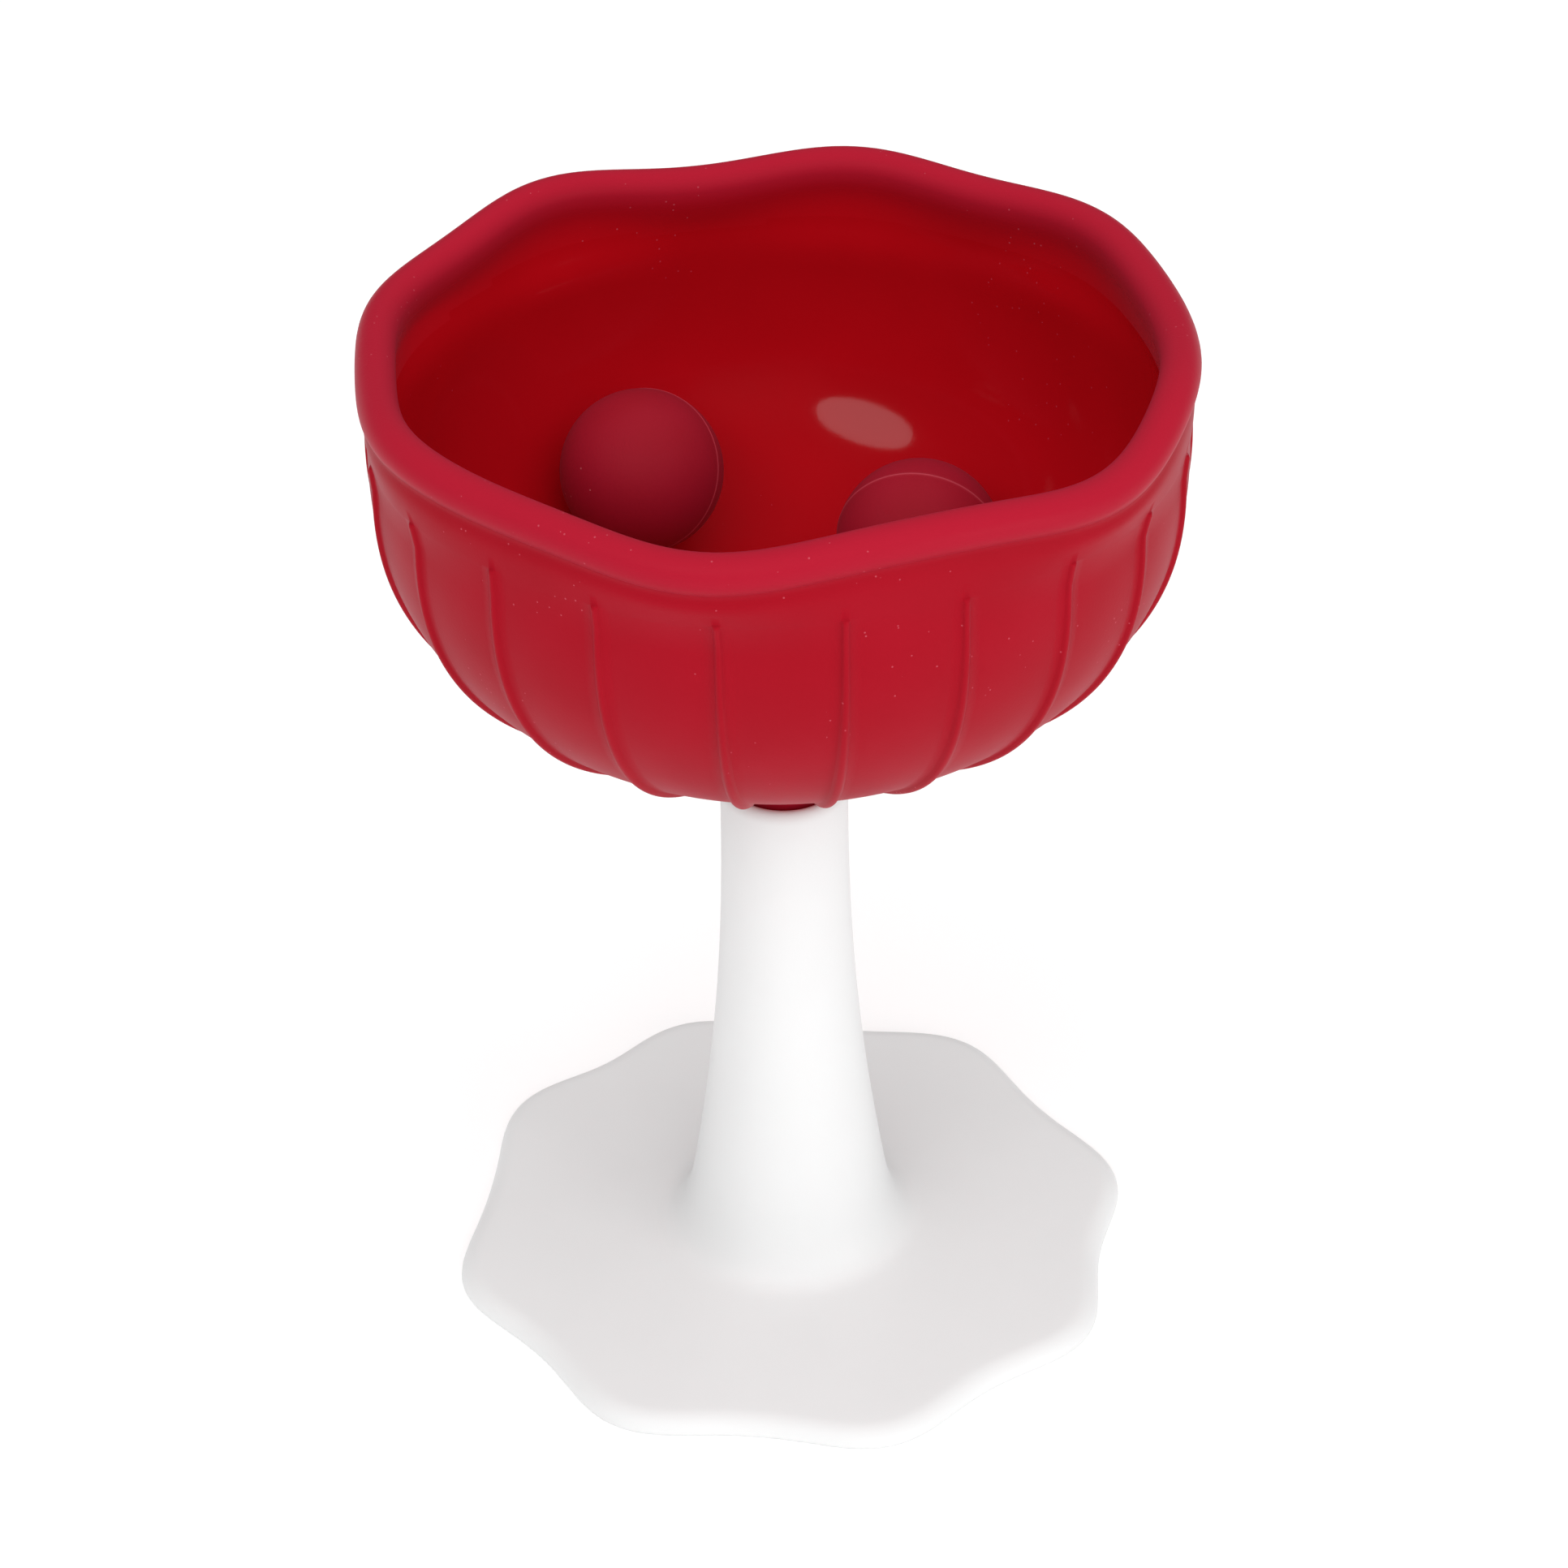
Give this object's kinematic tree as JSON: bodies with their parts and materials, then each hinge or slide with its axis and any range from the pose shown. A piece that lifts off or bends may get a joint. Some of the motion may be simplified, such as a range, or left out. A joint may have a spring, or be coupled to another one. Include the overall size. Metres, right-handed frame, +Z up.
{
  "type": "catch_cup",
  "caption": "Footed catch cup: soft ribbed red bowl with a wavy rolled lip on a flared white stand with a lobed foot, holding two loose red balls.",
  "frame": {"origin": "centre of the foot's underside, on the stem's axis, at floor level", "axes": "+Z up along the stem, front of the cup towards -Y and midway between two ribs, +X to the right"},
  "size_m": [0.1192, 0.1223, 0.1658],
  "materials": {
    "white_plastic": "satin",
    "red_silicone": "satin",
    "ball_rubber": "matte"
  },
  "bodies": {
    "stand": {"stem_foot": "white_plastic"},
    "bowl": {"bowl": "red_silicone"},
    "left_ball": {"ball_left": "ball_rubber"},
    "right_ball": {"ball_right": "ball_rubber"}
  },
  "joints": [
    {"name": "bowl_pull", "type": "slide", "parent": "stand", "child": "bowl", "axis": [0, 0, 1], "range_m": [0, 0.025]},
    {"name": "left_ball_lift", "type": "slide", "parent": "bowl", "child": "left_ball", "axis": [0, 0, 1], "range_m": [0, 0.06]},
    {"name": "right_ball_lift", "type": "slide", "parent": "bowl", "child": "right_ball", "axis": [0, 0, 1], "range_m": [0, 0.066]}
  ]
}
